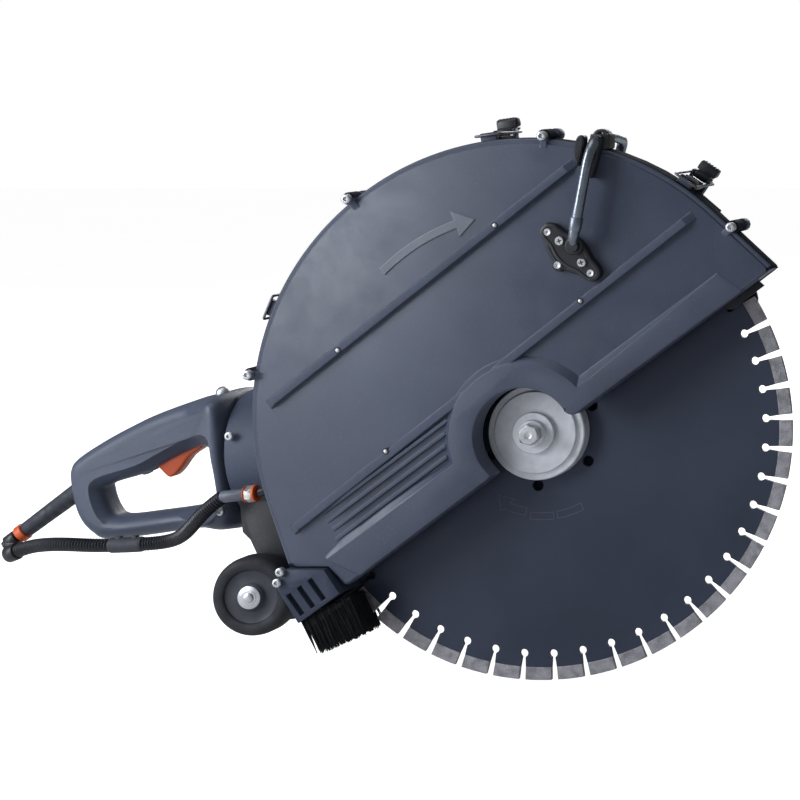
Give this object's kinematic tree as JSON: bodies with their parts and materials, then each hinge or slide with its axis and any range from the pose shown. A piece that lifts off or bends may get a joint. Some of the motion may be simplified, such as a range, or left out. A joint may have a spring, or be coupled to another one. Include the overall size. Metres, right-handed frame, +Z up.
{
  "type": "concrete cut-off saw",
  "caption": "Electric cut-off saw for concrete with a guarded diamond blade, wet feed, transport wheels and a D-handle.",
  "frame": {"origin": "middle of the flat foot under the gear housing", "axes": "+X forward, away from the D-handle; +Y along the spindle from the blade to the motor side; +Z up"},
  "size_m": [0.7614, 0.2546, 0.5067],
  "materials": {
    "housing_plastic": "satin moulded plastic",
    "black_plastic": "satin",
    "cast_alloy": "as cast",
    "zinc_steel": "zinc plated",
    "machined_steel": "machined",
    "blade_steel": "satin coated",
    "copper_winding": "lacquered",
    "carbon": "matt",
    "orange_plastic": "satin",
    "soft_rubber": "matt",
    "grey_rubber": "matt",
    "bristle": "matt",
    "painted_tube": "satin"
  },
  "bodies": {
    "saw_body": {"bristle_strip": "bristle", "brush_block": "housing_plastic", "carbon_brush_far": "carbon", "carbon_brush_near": "carbon", "cord_boot": "grey_rubber", "cord_hose_clip": "black_plastic", "cord_ring": "orange_plastic", "cover_screw_1": "zinc_steel", "cover_screw_2": "zinc_steel", "cover_screw_3": "zinc_steel", "cover_screw_4": "zinc_steel", "front_grip": "soft_rubber", "front_handle": "painted_tube", "gear_housing": "cast_alloy", "gear_housing_cover": "cast_alloy", "guard_band": "soft_rubber", "guard_front_cover": "housing_plastic", "guard_rear_shell": "housing_plastic", "handle_far_shell": "housing_plastic", "handle_near_shell": "housing_plastic", "hose_coupling": "grey_rubber", "motor_bearing_front": "machined_steel", "motor_bearing_rear": "machined_steel", "motor_housing": "housing_plastic", "nozzle_block": "black_plastic", "power_cord": "soft_rubber", "rear_hose": "soft_rubber", "rubber_flap": "soft_rubber", "spindle_bearing_front": "machined_steel", "spindle_bearing_rear": "machined_steel", "stator": "machined_steel", "switch_body": "black_plastic", "tube_clip": "black_plastic", "water_hose": "soft_rubber", "water_tube": "painted_tube", "wheel_axle": "zinc_steel", "wheel_bracket": "black_plastic"},
    "spindle_group": {"spindle": "machined_steel", "bevel_gear": "machined_steel", "inner_flange": "machined_steel", "blade": "blade_steel", "outer_flange": "zinc_steel", "flange_washer": "zinc_steel", "spindle_bolt": "zinc_steel"},
    "armature": {"armature_shaft": "machined_steel", "armature_core": "copper_winding", "commutator": "copper_winding", "cooling_fan": "black_plastic", "bevel_pinion": "machined_steel"},
    "trigger": {"trigger": "orange_plastic"},
    "lock_off_button": {"lock_off_button": "orange_plastic"},
    "wheel_near": {"wheel_near": "soft_rubber"},
    "wheel_far": {"wheel_far": "soft_rubber"},
    "latch_lever_1": {"latch_lever_1": "black_plastic"},
    "latch_bail_1": {"latch_bail_1": "zinc_steel"},
    "latch_lever_2": {"latch_lever_2": "black_plastic"},
    "latch_bail_2": {"latch_bail_2": "zinc_steel"},
    "latch_lever_3": {"latch_lever_3": "black_plastic"},
    "latch_bail_3": {"latch_bail_3": "zinc_steel"}
  },
  "joints": [
    {"name": "blade_spin", "type": "hinge", "parent": "saw_body", "child": "spindle_group", "pos_m": [0, -0.076, 0.062], "axis": [0, 1, 0], "continuous": true},
    {"name": "armature_spin", "type": "hinge", "parent": "saw_body", "child": "armature", "pos_m": [0, 0.014, 0.062], "axis": [0.9925, 0, 0.1219], "continuous": true},
    {"name": "trigger_pull", "type": "hinge", "parent": "saw_body", "child": "trigger", "pos_m": [-0.3469, 0.008, 0.0454], "axis": [0, 1, 0], "range_deg": [0, 9]},
    {"name": "lock_off_press", "type": "slide", "parent": "saw_body", "child": "lock_off_button", "axis": [0, -1, 0], "range_m": [0, 0.0035]},
    {"name": "wheel_near_spin", "type": "hinge", "parent": "saw_body", "child": "wheel_near", "pos_m": [-0.266, -0.058, -0.09], "axis": [0, 1, 0], "continuous": true},
    {"name": "wheel_far_spin", "type": "hinge", "parent": "saw_body", "child": "wheel_far", "pos_m": [-0.266, 0.003, -0.09], "axis": [0, 1, 0], "continuous": true},
    {"name": "latch_1_lever", "type": "hinge", "parent": "saw_body", "child": "latch_lever_1", "pos_m": [-0.22997, -0.07, 0.17558], "axis": [0.3746, 0, 0.9272], "range_deg": [0, 100]},
    {"name": "latch_1_bail", "type": "hinge", "parent": "latch_lever_1", "child": "latch_bail_1", "pos_m": [-0.22904, -0.062, 0.1752], "axis": [0.3746, 0, 0.9272], "range_deg": [-116, 0]},
    {"name": "latch_2_lever", "type": "hinge", "parent": "saw_body", "child": "latch_lever_2", "pos_m": [-0.03547, -0.07, 0.32863], "axis": [0.9893, 0, 0.1461], "range_deg": [0, 100]},
    {"name": "latch_2_bail", "type": "hinge", "parent": "latch_lever_2", "child": "latch_bail_2", "pos_m": [-0.03533, -0.062, 0.32764], "axis": [0.9893, 0, 0.1461], "range_deg": [-116, 0]},
    {"name": "latch_3_lever", "type": "hinge", "parent": "saw_body", "child": "latch_lever_3", "pos_m": [0.1405, -0.07, 0.28849], "axis": [0.8281, 0, -0.5606], "range_deg": [0, 100]},
    {"name": "latch_3_bail", "type": "hinge", "parent": "latch_lever_3", "child": "latch_bail_3", "pos_m": [0.13994, -0.062, 0.28766], "axis": [0.8281, 0, -0.5606], "range_deg": [-116, 0]}
  ],
  "couplings": [
    {"joint": "armature_spin", "follows": "blade_spin", "ratio": -4},
    {"joint": "latch_1_bail", "follows": "latch_1_lever", "ratio": -1.15},
    {"joint": "latch_2_bail", "follows": "latch_2_lever", "ratio": -1.15},
    {"joint": "latch_3_bail", "follows": "latch_3_lever", "ratio": -1.15}
  ]
}
